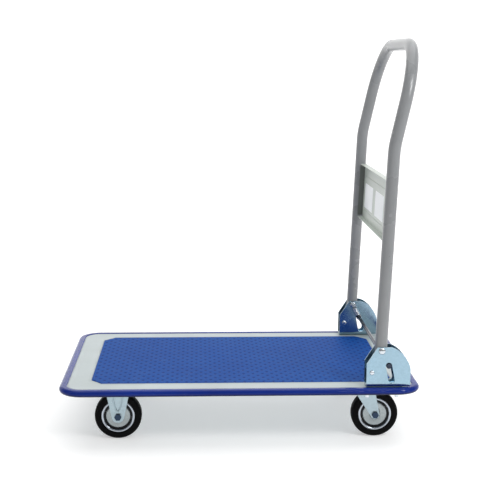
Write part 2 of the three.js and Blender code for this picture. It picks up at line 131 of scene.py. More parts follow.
# The same for a profile that closes on itself, which makes a ring.
def closedTurned(profile, centre, axis, segments):
    points, _ = turned(profile, centre, axis, segments)
    return points, gridFaces(len(profile), segments, closeRows=True, closeColumns=True)


# The same for a profile whose first and last points are on the axis, merged to one point each.
def cappedTurned(profile, centre, axis, segments):
    points, _ = turned(profile[1:-1], centre, axis, segments)
    rows = len(profile) - 2
    flat = points.reshape(-1, 3)
    shift = {"x": (1, 0, 0), "y": (0, 1, 0), "z": (0, 0, 1)}[axis]
    first = np.asarray(centre, float) + np.asarray(shift, float) * profile[0][1]
    last = np.asarray(centre, float) + np.asarray(shift, float) * profile[-1][1]
    flat = np.vstack([flat, first, last])
    c = np.arange(segments)
    after = (c + 1) % segments
    pole = np.full(segments, rows * segments)
    lastRow = (rows - 1) * segments
    firstFan = np.stack([pole, after, c], -1).tolist()
    lastFan = np.stack([pole + 1, lastRow + c, lastRow + after], -1).tolist()
    return flat, gridFaces(rows, segments, closeColumns=True) + firstFan + lastFan


# A circle carried along a path, its frame turned as little as possible from point to point.
def sweptTube(path, radius, sides, closed=False):
    path = np.asarray(path, float)
    if closed:
        tangent = np.roll(path, -1, 0) - np.roll(path, 1, 0)
    else:
        tangent = np.gradient(path, axis=0)
    tangent /= np.linalg.norm(tangent, axis=1)[:, None]
    side = np.cross([0.0, 1.0, 0.0], tangent[0])
    if np.linalg.norm(side) < 0.2:       # the path starts along y
        side = np.cross([1.0, 0.0, 0.0], tangent[0])
    sideways = []
    for t in tangent:
        side = side - t * np.dot(side, t)
        side = side / np.linalg.norm(side)
        sideways.append(side)
    sideways = np.array(sideways)
    upward = np.cross(tangent, sideways)
    angle = np.linspace(0, 2 * math.pi, sides, endpoint=False)
    cosine = np.cos(angle)[None, :, None]
    sine = np.sin(angle)[None, :, None]
    points = path[:, None] + (sideways[:, None] * cosine + upward[:, None] * sine) * radius
    faces = gridFaces(len(path), sides, closeRows=closed, closeColumns=True)
    if not closed:
        faces.append(list(range(sides))[::-1])
        faces.append([(len(path) - 1) * sides + k for k in range(sides)])
    return points, faces


# Several (points, faces) as one list of points and faces.
def joinParts(parts):
    allPoints = []
    allFaces = []
    start = 0
    for points, faces in parts:
        points = np.asarray(points, float).reshape(-1, 3)
        allPoints.append(points)
        allFaces += [[i + start for i in face] for face in faces]
        start += len(points)
    return np.vstack(allPoints), allFaces


# A CAD node's lowest and highest corners, in millimetres.
def boxOf(node):
    low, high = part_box(node)
    return np.array(low) / mm, np.array(high) / mm


def middleOf(node):
    low, high = boxOf(node)
    return (low + high) / 2


# shader helpers

# Wraps a socket, so that an expression on values adds its Math nodes.
class Value:
    def __init__(self, graph, socket):
        self.graph = graph
        self.socket = socket

    def math(self, operation, *others):
        return self.graph.node("ShaderNodeMath", {"operation": operation}, [self, *others])

    def __add__(self, other):
        return self.math("ADD", other)

    def __radd__(self, other):
        return self.math("ADD", other)

    def __sub__(self, other):
        return self.math("SUBTRACT", other)

    def __rsub__(self, other):
        return self.graph.node("ShaderNodeMath", {"operation": "SUBTRACT"}, [other, self])

    def __mul__(self, other):
        return self.math("MULTIPLY", other)

    def __rmul__(self, other):
        return self.math("MULTIPLY", other)


# The nodes of one material, or of the sky.
class Graph:
    def __init__(self, owner, shader="Principled BSDF"):
        owner.use_nodes = True
        self.owner = owner
        self.tree = owner.node_tree
        self.shader = self.tree.nodes[shader]

    def node(self, kind, settings=None, inputs=(), output=0):
        made = self.tree.nodes.new(kind)
        for key, value in (settings or {}).items():
            if key == "stops":
                self.fillRamp(made.color_ramp, value)
            else:
                setattr(made, key, value)
        pairs = inputs.items() if isinstance(inputs, dict) else enumerate(inputs)
        for key, value in pairs:
            self.feed(made.inputs[key], value)
        return Value(self, made.outputs[output])

    def feed(self, socket, value):
        if isinstance(value, Value):
            self.tree.links.new(value.socket, socket)
        else:
            socket.default_value = value

    def fillRamp(self, ramp, stops):
        while len(ramp.elements) > 1:
            ramp.elements.remove(ramp.elements[-1])
        for i, (place, colour) in enumerate(stops):
            element = ramp.elements[0] if i == 0 else ramp.elements.new(place)
            element.position = place
            element.color = (*colour, 1)

    def place(self):
        return self.node("ShaderNodeTexCoord", output="Object")

    def stretched(self, scale):
        return self.node("ShaderNodeMapping", inputs={"Vector": self.place(), "Scale": scale})

    def noise(self, scale, detail=3.0, roughness=0.55, vector=None):
        return self.node("ShaderNodeTexNoise", inputs={
            "Vector": vector or self.place(), "Scale": scale, "Detail": detail, "Roughness": roughness})

    def spread(self, value, low, high, toLow=0.0, toHigh=1.0):
        return self.node("ShaderNodeMapRange", {"clamp": True}, {
            "Value": value, "From Min": low, "From Max": high, "To Min": toLow, "To Max": toHigh})

    # A mix of two colours; the node's colour sockets are inputs 6 and 7, and output 2.
    def blend(self, amount, first, second):
        first = first if isinstance(first, Value) else (*first, 1)
        second = second if isinstance(second, Value) else (*second, 1)
        return self.node("ShaderNodeMix", {"data_type": "RGBA"}, {0: amount, 6: first, 7: second}, 2)

    def bump(self, height, strength, distance, under=None):
        inputs = {"Height": height, "Strength": strength, "Distance": distance}
        if under:
            inputs["Normal"] = under
        return self.node("ShaderNodeBump", inputs=inputs)

    def finish(self, colour, roughness, normal=None, metallic=0.0, **fixed):
        self.feed(self.shader.inputs["Base Color"], colour)
        self.feed(self.shader.inputs["Roughness"], roughness)
        self.feed(self.shader.inputs["Metallic"], metallic)
        if normal:
            self.feed(self.shader.inputs["Normal"], normal)
        for key, value in fixed.items():
            self.shader.inputs[key.replace("_", " ")].default_value = value
        return self.owner


# Screen colour from 0 to 255 as linear light.
def linear(screen):
    values = np.array(screen) / 255
    curve = ((values + 0.055) / 1.055) ** 2.4
    return tuple(np.where(values <= 0.04045, values / 12.92, curve).tolist())


def shaded(colour, amount):
    return tuple(min(1, c * amount) for c in colour)


paintLook = {                # screen colour, scale of the orange peel, wear, roughness
    "borderPaint": ((166, 176, 177), 260.0, 0.10, 0.44),
    "tubePaint": ((129, 131, 133), 320.0, 0.04, 0.28),
    "panelPaint": ((177, 185, 177), 280.0, 0.08, 0.40),
}
paintSizes = {
    "cloudScale": 9.0,
    "speckScale": 900.0,
    "scuffScale": 240.0,
    "coat": 0.15,
    "coatRoughness": 0.25,
    "endShadeFrom": 0.1958,      # metres from the middle plane, where the panel's end lips and their painted shade start
    "endShadeFade": 0.0004,
    # painted shade on the end lips, as a part of the panel's colour
    "endShadeTone": 0.28,
}


# Baked paint: two close tones in clouds, fine scuffs along the piece, and orange peel under fine specks.
# The panel's end lips get painted shade, darker than the tubes, for the shade in the tray's corners.
def paint(name, paintedShadeEnds=False):
    screen, peelScale, wear, roughness = paintLook[name]
    s = paintSizes
    colour = linear(screen)
    g = Graph(bpy.data.materials.new(name))
    cloud = g.noise(s["cloudScale"], 4.0)
    specks = g.noise(s["speckScale"], 2.0)
    scuffs = g.spread(g.noise(s["scuffScale"], 5.0, 0.7, g.stretched((1, 1, 0.4))), 0.62, 0.76)
    tint = g.blend(g.spread(cloud, 0.35, 0.65), shaded(colour, 0.93), shaded(colour, 1.05))
    tint = g.blend(scuffs * wear, tint, shaded(colour, 0.6))
    if paintedShadeEnds:
        # painted shade on the panel's end lips
        across = g.node("ShaderNodeSeparateXYZ", inputs=[g.place()], output=1).math("ABSOLUTE")
        shadeAtEnd = g.spread(across, s["endShadeFrom"], s["endShadeFrom"] + s["endShadeFade"])
        tint = g.blend(shadeAtEnd, tint, shaded(colour, s["endShadeTone"]))
    gloss = g.spread(cloud, 0.3, 0.7, roughness - 0.02, roughness + 0.03) + scuffs * (wear * 0.5)
    peel = g.bump(g.noise(peelScale, 2.0), 0.06, 0.001)
    relief = g.bump(specks, 0.03, 0.0004, peel)
    return g.finish(tint, gloss, relief, Coat_Weight=s["coat"], Coat_Roughness=s["coatRoughness"])


zincLook = {                 # screen colour, roughness, drawn streaks, spangle
    "zincPlate": ((156, 184, 200), 0.17, 0.3, 0.5),
    "zincLeg": ((172, 190, 198), 0.26, 0.5, 0.5),
    "brightZinc": ((214, 220, 226), 0.16, 0.3, 0.5),
    "hubZinc": ((160, 168, 170), 0.22, 0.4, 0.5),
    "rimSteel": ((190, 197, 206), 0.14, 0.2, 0.2),
    "barSteel": ((62, 68, 80), 0.14, 0.6, 0.5),
    "darkSteel": ((54, 68, 88), 0.22, 0.5, 0.5),
}
zincSizes = {
    "cellScale": 260.0,
    "cloudScale": 28.0,
    "lineScale": 700.0,
    "bloomScale": 14.0,
    "bloom": 0.35,
    "deep": 0.82,            # darkest and palest tone, as parts of the colour
    "pale": 1.08,
}


# Plated steel: crystal spangle from cells, a cloudy bloom, and fine drawn lines in the gloss and the relief.
def zinc(name):
    screen, roughness, streak, spangle = zincLook[name]
    s = zincSizes
    colour = linear(screen)
    g = Graph(bpy.data.materials.new(name))
    cells = {"Vector": g.place(), "Scale": s["cellScale"]}
    grains = g.node("ShaderNodeTexVoronoi", {"feature": "F1"}, cells, "Color")
    tone = g.node("ShaderNodeSeparateColor", inputs=[grains])
    cloud = g.noise(s["cloudScale"], 5.0, 0.65)
    lines = g.noise(s["lineScale"], 3.0, 0.6, g.stretched((1, 1, 0.06)))
    shade = g.spread(tone * spangle * 0.4 + cloud * 0.8, 0.25, 0.95)
    tint = g.blend(shade, shaded(colour, s["deep"]), shaded(colour, s["pale"]))
    bloom = g.spread(g.noise(s["bloomScale"], 3.0), 0.55, 0.75)
    tint = g.blend(bloom * s["bloom"], tint, (colour[0] * 0.85, colour[1] * 0.95, colour[2]))
    gloss = g.spread(cloud + lines * streak, 0.35, 1.0, roughness - 0.08, roughness + 0.14)
    relief = g.bump(lines, 0.05 * streak, 0.0004, g.bump(cloud, 0.04, 0.002))
    return g.finish(tint, gloss, relief, 1.0)


borderPaint = paint("borderPaint")
tubePaint = paint("tubePaint")
panelPaint = paint("panelPaint", paintedShadeEnds=True)
zincPlate = zinc("zincPlate")
zincLeg = zinc("zincLeg")
brightZinc = zinc("brightZinc")
hubZinc = zinc("hubZinc")
rimSteel = zinc("rimSteel")
barSteel = zinc("barSteel")
darkSteel = zinc("darkSteel")

matSizes = {
    "pitchX": 20.0,          # from dimple to dimple along the deck
    "pitchY": 27.4,          # and across it, with a half-step row between
    "dimpleX": 3.4,          # half sizes of one dimple
    "dimpleY": 5.6,
    "dimpleDepth": 0.55,
    "edge": 0.9,             # rounding of the outline
    "columns": 330,
    "rows": 220,
    "thickness": 1.5,
    "gapUnder": 0.2,         # between the deck's sheet and the mat
    "sideGap": 0.3,
    "shoulder": 0.5,         # drop of the rounded edge's middle
}
matLook = {                  # screen colours, and roughness from and to
    "deep": (6, 64, 138),
    "pale": (13, 74, 150),
    # painted shade in the dimples
    "dimple": (3, 36, 104),
    "dust": (120, 140, 180),
    "roughness": (0.54, 0.68),
    "cloudScale": 5.0,
    "grainScale": 1500.0,
    "dustScale": 40.0,
}


# Blue vinyl with a darker dot of painted shade in each dimple: one less the distance from the dimple's middle,
# softened.
def matVinyl():
    look = matLook
    g = Graph(bpy.data.materials.new("matVinyl"))
    x = g.node("ShaderNodeSeparateXYZ", inputs=[g.place()], output=0) * (1 / (matSizes["pitchX"] * mm))
    y = g.node("ShaderNodeSeparateXYZ", inputs=[g.place()], output=1) * (1 / (matSizes["pitchY"] * mm))
    overX = matSizes["pitchX"] / matSizes["dimpleX"]
    overY = matSizes["pitchY"] / matSizes["dimpleY"]
    shadeSpots = None
    for shift in (0.0, 0.5):             # two sets of dimples, half a pitch apart both ways
        dx = ((x + (shift + 0.5)).math("FLOORED_MODULO", 1.0) - 0.5) * overX
        dy = ((y + (shift + 0.5)).math("FLOORED_MODULO", 1.0) - 0.5) * overY
        away = (dx * dx + dy * dy).math("SQRT")
        shadeSpot = g.spread(away, 0.45, 1.15, 1.0, 0.0)
        shadeSpots = shadeSpot if shadeSpots is None else shadeSpots.math("MAXIMUM", shadeSpot)
    cloud = g.noise(look["cloudScale"], 4.0)
    grain = g.noise(look["grainScale"], 3.0)
    tint = g.blend(g.spread(cloud, 0.3, 0.7), linear(look["deep"]), linear(look["pale"]))
    # painted shade in each dimple
    tint = g.blend(shadeSpots * 0.8, tint, linear(look["dimple"]))
    dust = g.spread(g.noise(look["dustScale"], 5.0, 0.7), 0.5, 0.8)
    tint = g.blend(dust * 0.10, tint, linear(look["dust"]))
    gloss = g.spread(grain, 0.3, 0.7, *look["roughness"]) + dust * 0.06
    relief = g.bump(grain, 0.25, 0.0005)
    return g.finish(tint, gloss, relief, Specular_IOR_Level=0.08)


bumperLook = {
    "deep": (7, 32, 112),
    "pale": (14, 42, 128),
    # painted shade: the near-black of the underside
    "under": (2, 5, 44),
    "underShadeTo": (0.1135, 0.1195),     # metres up, where the painted shade on the underside starts to fade and where it ends
    "scuff": (90, 110, 170),
    "roughness": (0.14, 0.24),
    "waveScale": 22.0,
    "cloudScale": 7.0,
    "grainScale": 900.0,
    "scuffScale": 90.0,
    "coat": 0.30,
    "coatRoughness": 0.04,
}


# Glossy moulding with painted shade underneath, and faint waves and scuffs.
def bumperVinyl():
    look = bumperLook
    g = Graph(bpy.data.materials.new("bumperVinyl"))
    waves = g.noise(look["waveScale"], 2.0)
    cloud = g.noise(look["cloudScale"], 3.0)
    grain = g.noise(look["grainScale"], 2.0)
    height = g.node("ShaderNodeSeparateXYZ", inputs=[g.place()], output=2)
    tint = g.blend(g.spread(cloud, 0.3, 0.7), linear(look["deep"]), linear(look["pale"]))
    # painted shade, darker towards the bottom
    tint = g.blend(g.spread(height, *look["underShadeTo"], 1.0, 0.0), tint, linear(look["under"]))
    scuffs = g.spread(g.noise(look["scuffScale"], 5.0, 0.7), 0.62, 0.75)
    tint = g.blend(scuffs * 0.15, tint, linear(look["scuff"]))
    gloss = g.spread(waves, 0.3, 0.7, *look["roughness"]) + scuffs * 0.15
    relief = g.bump(grain, 0.04, 0.0003, g.bump(waves, 0.10, 0.003))
    return g.finish(tint, gloss, relief, Specular_IOR_Level=0.06,
                    Coat_Weight=look["coat"], Coat_Roughness=look["coatRoughness"])


tyreLook = {
    "deep": (2, 2, 3),
    "pale": (7, 7, 8),
    "dust": (40, 39, 38),
    "roughness": (0.55, 0.72),
    "grainScale": 1100.0,
    "cloudScale": 30.0,
    "dustScale": 120.0,
}


# Matt black rubber with a little dust.
def tyreRubber():
    look = tyreLook
    g = Graph(bpy.data.materials.new("tyreRubber"))
    grain = g.noise(look["grainScale"], 4.0)
    cloud = g.noise(look["cloudScale"], 4.0)
    tint = g.blend(g.spread(cloud, 0.35, 0.7), linear(look["deep"]), linear(look["pale"]))
    dust = g.spread(g.noise(look["dustScale"], 6.0, 0.75), 0.55, 0.8)
    tint = g.blend(dust * 0.12, tint, linear(look["dust"]))
    gloss = g.spread(cloud, 0.3, 0.7, *look["roughness"])
    return g.finish(tint, gloss, g.bump(grain, 0.3, 0.0004), Specular_IOR_Level=0.1)


mouldingLook = {
    # near-black, also used as painted shade in the wheel's groove
    "deep": (4, 6, 12),
    "pale": (9, 12, 18),
    "roughness": (0.30, 0.42),
    "grainScale": 700.0,
    "cloudScale": 50.0,
}


# Moulded plastic with a fine grain, for the tube plugs, and as painted shade in the deep groove of the wheel.
def blackMouldingAndGrooveShade():
    look = mouldingLook
    g = Graph(bpy.data.materials.new("blackMouldingAndGrooveShade"))
    grain = g.noise(look["grainScale"], 3.0)
    cloud = g.noise(look["cloudScale"], 3.0)
    tint = g.blend(g.spread(cloud, 0.3, 0.7), linear(look["deep"]), linear(look["pale"]))
    gloss = g.spread(grain, 0.3, 0.7, *look["roughness"])
    return g.finish(tint, gloss, g.bump(grain, 0.15, 0.0004), Specular_IOR_Level=0.25)


labelLook = {
    "deep": (226, 230, 232),
    "pale": (240, 242, 242),
    "roughness": (0.38, 0.5),
    "fibreScale": 500.0,
}


# Blank label stock with a faint fibre.
def labelPaper():
    look = labelLook
    g = Graph(bpy.data.materials.new("labelPaper"))
    fibres = g.noise(look["fibreScale"], 4.0)
    tint = g.blend(g.spread(fibres, 0.3, 0.7), linear(look["deep"]), linear(look["pale"]))
    gloss = g.spread(fibres, 0.3, 0.7, *look["roughness"])
    return g.finish(tint, gloss, g.bump(fibres, 0.05, 0.0003))


matBlue = matVinyl()
bumperBlue = bumperVinyl()
rubber = tyreRubber()
plugPlasticAndGrooveShade = blackMouldingAndGrooveShade()
paper = labelPaper()
print("materials made")


# deck

# A closed loop whose corners are arcs of one radius, or straight cuts, with the same count of points
# in every loop so that loops can be joined: four sides of straight steps and four corners.
def cornerLoop(halfX, halfY, centreX, radius=None, cut=None, sideSteps=24, cornerSteps=10):
    corners = []
    t = np.linspace(0, 1, cornerSteps)
    for i, (signX, signY) in enumerate([(1, 1), (-1, 1), (-1, -1), (1, -1)]):
        if cut is not None:
            first = np.array([signX * halfX, signY * (halfY - cut[1])])
            last = np.array([signX * (halfX - cut[0]), signY * halfY])
            if i % 2:
                first, last = last, first
            corners.append(first + (last - first) * t[:, None])
        else:
            angle = np.radians(90 * i + 90 * t)
            corners.append(np.stack([signX * (halfX - radius) + radius * np.cos(angle),
                                     signY * (halfY - radius) + radius * np.sin(angle)], -1))
    loop = []
    side = np.linspace(0, 1, sideSteps + 1, endpoint=False)[1:]
    for i in range(4):
        first, last = corners[i][-1], corners[(i + 1) % 4][0]
        loop += [corners[i], first + (last - first) * side[:, None]]
    return np.vstack(loop) + [centreX, 0]


# A loop of points across and along the deck, set at one height.
def atHeight(loop, z):
    return np.column_stack([loop, np.full(len(loop), z)])


deckLow, deckHigh = boxOf("edge_bumper")
halfLength = (deckHigh[0] - deckLow[0]) / 2
halfWidth = (deckHigh[1] - deckLow[1]) / 2
panLow, panTop = (corner[2] for corner in boxOf("deck_pan"))
matLow, matHigh = boxOf("deck_mat")
matCentre = (matLow[0] + matHigh[0]) / 2
matHalfX = (matHigh[0] - matLow[0]) / 2
matHalfY = (matHigh[1] - matLow[1]) / 2

deckSizes = {
    "corner": 49.0,          # outer corner radius, over the bumper
    "cutX": 24.0,            # the mat's cut corners
    "cutY": 26.0,
    "cutGrowth": 0.4,        # how much a cut grows as its loop does
    "borderRise": 0.55,      # the border's height over the rim
    "sheet": 1.3,
}


# Loops stepping in from the rim: down-turned edge, rim, a bead, the flat border, the bead round the mat,
# and the sunk floor under the mat. A wall modifier gives the sheet its thickness.
def buildPan():
    s = deckSizes
    top = panTop + s["borderRise"]
    outer = [                # inset from the outline, height
        (15.0, panLow), (9.5, panLow), (7.4, panLow + 0.3), (6.4, panLow + 1.2), (6.0, panLow + 2.4),
        (6.0, panTop - 2.2), (6.4, panTop - 0.9), (7.3, panTop - 0.1), (9.0, panTop + 0.1),
        (16.2, panTop + 0.1), (17.6, panTop + 0.5), (18.6, panTop + 1.0), (19.8, panTop + 1.2),
        (21.0, panTop + 1.0), (22.4, top + 0.05), (24.0, top)]
    inner = [                # growth beyond the mat's outline, height
        (8.0, top), (6.2, top + 0.1), (4.9, top + 0.6), (3.8, top + 1.0), (2.8, top + 1.05),
        (1.9, top + 0.75), (1.2, top + 0.1), (0.6, panTop - 0.1), (-3.0, panTop - 0.2), (-30.0, panTop - 0.2)]
    rows = []
    for inset, z in outer:
        loop = cornerLoop(halfLength - inset, halfWidth - inset, 0, radius=s["corner"] - inset)
        rows.append(atHeight(loop, z))
    innerRows = []
    for grow, z in inner:
        cut = (s["cutX"] + grow * s["cutGrowth"], s["cutY"] + grow * s["cutGrowth"])
        loop = cornerLoop(matHalfX + grow, matHalfY + grow, matCentre, cut=cut)
        innerRows.append(atHeight(loop, z))
    first, last = rows[-1], innerRows[0]
    rows += [first + (last - first) * t for t in (0.2, 0.4, 0.6, 0.8)]
    rows += innerRows
    count = len(rows[0])
    faces = gridFaces(len(rows), count, closeColumns=True)
    faces.append([(len(rows) - 1) * count + k for k in range(count)])
    pan = makePiece("deckPan", np.stack(rows), faces, borderPaint, "base", ["deck_pan"], 50)
    wall = pan.modifiers.new("wall", "SOLIDIFY")
    wall.thickness = s["sheet"] * mm
    wall.offset = -1


# Staggered oval dimples: the depth falls off as a smooth bell from each dimple's middle.
def matHeight(x, y):
    s = matSizes
    depth = np.zeros_like(x)
    for shift in (0.0, 0.5):
        dx = ((x / s["pitchX"] + shift + 0.5) % 1 - 0.5) * s["pitchX"] / s["dimpleX"]
        dy = ((y / s["pitchY"] + shift + 0.5) % 1 - 0.5) * s["pitchY"] / s["dimpleY"]
        away = np.sqrt(dx ** 2 + dy ** 2)
        depth = np.maximum(depth, np.clip(1.15 - away, 0, 0.7) / 0.7)
    return -s["dimpleDepth"] * depth * depth * (3 - 2 * depth)


# Steps from -1 to 1 over the mat with two more at each end for its rounded edge: the steps, how far each
# stands out, and how far it drops.
def matSteps(count):
    s = matSizes
    steps = np.concatenate([[-1, -1], np.linspace(-1, 1, count), [1, 1]])
    out = np.zeros(len(steps))
    out[[0, 1, -2, -1]] = [-s["edge"], -s["edge"], s["edge"], s["edge"]]
    drop = np.zeros(len(steps))
    drop[[0, -1]] = s["thickness"] + s["gapUnder"]
    drop[[1, -2]] = s["shoulder"]
    return steps, out, drop


# A grid over the mat. Each column reaches as far across as the cut corners let it, and the outline is
# rounded down to the underside, which one face closes.
def buildMat():
    s = matSizes
    along, outX, dropX = matSteps(s["columns"])
    across, outY, dropY = matSteps(s["rows"])
    endX = matHalfX - s["sideGap"]
    x = along * (endX - s["edge"])
    cut = np.clip(1 - (endX - np.abs(x)) / deckSizes["cutX"], 0, 1) * deckSizes["cutY"]
    reach = matHalfY - s["sideGap"] - s["edge"] - cut
    y = across[None] * reach[:, None] + outY[None]
    x = np.broadcast_to((x + outX)[:, None], y.shape) + matCentre
    drop = np.maximum(dropY[None], dropX[:, None])
    z = panTop + s["gapUnder"] + s["thickness"] - drop + np.where(drop == 0, matHeight(x, y), 0)
    rows, columns = y.shape
    index = np.arange(rows * columns).reshape(rows, columns)
    rim = np.concatenate([index[0], index[1:, -1], index[-1, -2::-1], index[-2:0:-1, 0]])
    faces = gridFaces(rows, columns) + [rim[::-1].tolist()]
    makePiece("deckMat", np.stack([x, y, z], -1), faces, matBlue, "base", ["deck_mat"], 60)


bumperSizes = {
    "cornerSteps": 14,
    "panGap": 0.3,           # between the bumper and the pan inside it
}


# A soft D-shaped section with a lip over and a lip under the pan's edge, carried round the deck.
# Each pair is an inset from the outline and a height.
def buildBumper():
    s = bumperSizes
    gap = s["panGap"]
    low, high = deckLow[2], deckHigh[2]
    nose = [(0.0, low + 6.4), (0.15, low + 7.8), (0.6, low + 9.2), (1.4, low + 10.5), (2.5, low + 11.6),
            (4.0, high - 0.7), (5.8, high - 0.2), (8.0, high), (12.6, high), (14.4, high - 0.05),
            (15.5, high - 0.3), (16.0, high - 0.75), (16.2, high - 1.3)]
    inside = [(16.2, panTop + gap + 0.05), (10.0, panTop + gap), (5.8, panTop + gap), (5.7, panTop - 2),
              (5.7, panLow + 1), (5.8, panLow - gap), (10.0, panLow - gap), (15.2, panLow - gap)]
    under = [(15.2, low + 0.8), (14.9, low + 0.25), (14.2, low), (6.0, low), (4.2, low + 0.3),
             (2.6, low + 1.1), (1.3, low + 2.4), (0.5, low + 3.9), (0.12, low + 5.2)]
    rows = []
    for inset, z in nose + inside + under:
        loop = cornerLoop(halfLength - inset, halfWidth - inset, 0,
                          radius=deckSizes["corner"] - inset, cornerSteps=s["cornerSteps"])
        rows.append(atHeight(loop, z))
    faces = gridFaces(len(rows), len(rows[0]), closeRows=True, closeColumns=True)
    makePiece("edgeBumper", np.stack(rows), faces, bumperBlue, "base", ["edge_bumper"], 55)


buildPan()
buildMat()
buildBumper()
print("deck built")


# handle

tubeHigh = boxOf("handle_tube")[1]
handle = next(j for j in frame["joints"] if j["name"] == "handle_fold")
pivot = np.array(handle["pos_m"]) / mm
handleSizes = {
    "radius": 12.5,
    "wall": 1.3,
    "stub": 22.0,            # length below the pivot
    "lowerSlope": 0.0406,    # lean of the lower and upper parts, in mm along x for each mm of height
    "upperSlope": 0.2187,
    "bend": 612.2,           # height of the bend, and how far it is rounded either way
    "bendReach": 16.0,
    "corner": 119.0,         # radius of the top corners
    "sides": 40,
    "legSteps": 12,
    "bendSteps": 12,
    "upperSteps": 6,
    "cornerSteps": 22,
    "gripSteps": 6,
}
tubeOffset = tubeHigh[1] - handleSizes["radius"]


# How far along the cart the leg's middle is at a height: a straight line up to the bend, and one that
# leans more from there.
def legX(z):
    s = handleSizes
    atBend = pivot[0] + s["lowerSlope"] * (s["bend"] - pivot[2])
    z = np.asarray(z, float)
    below = pivot[0] + s["lowerSlope"] * (z - pivot[2])
    return np.where(z < s["bend"], below, atBend + s["upperSlope"] * (z - s["bend"]))


# One leg up to its bend, which is a smooth parabola, on to the top corner, a quarter circle in the leaning
# plane, and the same mirrored.
def handlePath():
    s = handleSizes
    low = np.linspace(pivot[2] - s["stub"], s["bend"] - s["bendReach"], s["legSteps"])
    t = np.linspace(0, 1, s["bendSteps"])[1:-1]
    ends = np.array([s["bend"] - s["bendReach"], s["bend"], s["bend"] + s["bendReach"]])
    weights = np.stack([(1 - t) ** 2, 2 * t * (1 - t), t ** 2], -1)
    bendZ = weights @ ends
    bendX = weights @ legX(ends)
    upright = math.hypot(1, s["upperSlope"])
    topZ = tubeHigh[2] - s["radius"]
    cornerZ = topZ - s["corner"] / upright
    high = np.linspace(s["bend"] + s["bendReach"], cornerZ, s["upperSteps"])
    angle = np.linspace(0, math.pi / 2, s["cornerSteps"])[1:]
    arcZ = cornerZ + s["corner"] * np.sin(angle) / upright
    arcY = -tubeOffset + s["corner"] * (1 - np.cos(angle))
    z = np.concatenate([low, bendZ, high, arcZ])
    x = np.concatenate([legX(low), bendX, legX(high), legX(arcZ)])
    y = np.concatenate([np.full(len(low) + len(bendZ) + len(high), -tubeOffset), arcY])
    half = np.stack([x, y, z], -1)
    mirror = [1, -1, 1]
    grip = np.linspace(0, 1, s["gripSteps"])[1:-1, None] * (half[-1] * mirror - half[-1]) + half[-1]
    return np.vstack([half, grip, (half * mirror)[::-1]])


# An outer and an inner skin along one path, joined by a ring at each end.
def openTube(path, outer, inner, sides):
    outside, _ = sweptTube(path, outer, sides)
    inside, _ = sweptTube(path, inner, sides)
    points = np.concatenate([outside, inside[::-1]])
    return points, gridFaces(2 * len(path), sides, closeRows=True, closeColumns=True)


def buildHandle():
    s = handleSizes
    points, faces = openTube(handlePath(), s["radius"], s["radius"] - s["wall"], s["sides"])
    makePiece("handleTube", points, faces, tubePaint, "handle", ["handle_tube"], 60)
    for label in ("near", "far"):
        nodeCopy(f"tubePlug_{label}", f"tube_plug_{label}", plugPlasticAndGrooveShade, 0.3)


# A copy of a CAD solid with its doubles merged, its flat facets joined and its edges rounded.
def nodeCopy(name, node, material, width=0.5, segments=2, sharp=30):
    mesh = frame["nodes"][node].data.copy()
    mesh.name = name
    build = bmesh.new()
    build.from_mesh(mesh)
    bmesh.ops.remove_doubles(build, verts=build.verts, dist=1e-6)
    bmesh.ops.dissolve_limit(build, angle_limit=math.radians(0.5), verts=build.verts, edges=build.edges)
    build.to_mesh(mesh)
    build.free()
    piece = finishPiece(name, mesh, material, bodyOf[node], [node], sharp)
    rounding = piece.modifiers.new("rounding", "BEVEL")
    rounding.width = width * mm
    rounding.segments = segments
    rounding.limit_method = "ANGLE"
    rounding.angle_limit = math.radians(sharp)
    rounding.harden_normals = True


panelSizes = {
    "offset": 11.0,          # rear of the sheet behind the tube centres
    "fieldTop": 514.0,       # the raised field round the labels
    "fieldBottom": 434.0,
    "fieldHalf": 184.0,
    "fieldCorner": 9.0,
    "sheet": 1.5,
    "bead": 1.3,
    "labelHeight": 56.0,
    "labelWidth": 108.0,
    "labelCorner": 3.0,
    "labelDrop": 4.0,        # middle of the labels below the middle of the field
    "labelAcross": (-25.0, 119.0),
    "labelThickness": 0.25,
    "labelStand": 0.02,      # off the sheet
}


# A point on the leaning panel: across the cart, at a height, standing off its front face.
def onPanel(across, z, stand):
    x = legX(z) + panelSizes["offset"] - panelSizes["sheet"] - stand
    return np.stack([x, across, z], -1)


# The sheet with its lips, a bead along a rounded rectangle, and two labels of three stacked loops, closed
# front and back.
def buildPanel():
    s = panelSizes
    nodeCopy("handlePanel", "handle_panel", panelPaint, 0.9, 3)
    midZ = (s["fieldTop"] + s["fieldBottom"]) / 2
    halfZ = (s["fieldTop"] - s["fieldBottom"]) / 2
    loop = cornerLoop(s["fieldHalf"], halfZ, 0, radius=s["fieldCorner"], sideSteps=8, cornerSteps=8)
    points, faces = sweptTube(onPanel(loop[:, 0], loop[:, 1] + midZ, 0.0), s["bead"], 10, closed=True)
    makePiece("panelBead", points, faces, panelPaint, "handle")
    for label, middle in zip(("labelNear", "labelFar"), s["labelAcross"]):
        loop = cornerLoop(s["labelWidth"] / 2, s["labelHeight"] / 2, middle,
                          radius=s["labelCorner"], sideSteps=4, cornerSteps=6)
        thick = s["labelThickness"]
        rows = []
        for scale, stand in ((1, s["labelStand"]), (1, thick * 0.7), (1 - 0.2 / 30, thick)):
            inner = (loop - [middle, 0]) * scale + [middle, 0]
            rows.append(onPanel(inner[:, 0], inner[:, 1] + midZ - s["labelDrop"], stand))
        count = len(loop)
        faces = gridFaces(3, count, closeColumns=True)
        faces += [[2 * count + k for k in range(count)], list(range(count))[::-1]]
        makePiece(label, np.stack(rows), faces, paper, "handle")


buildHandle()
buildPanel()
print("handle built")


# brackets, lock and springs

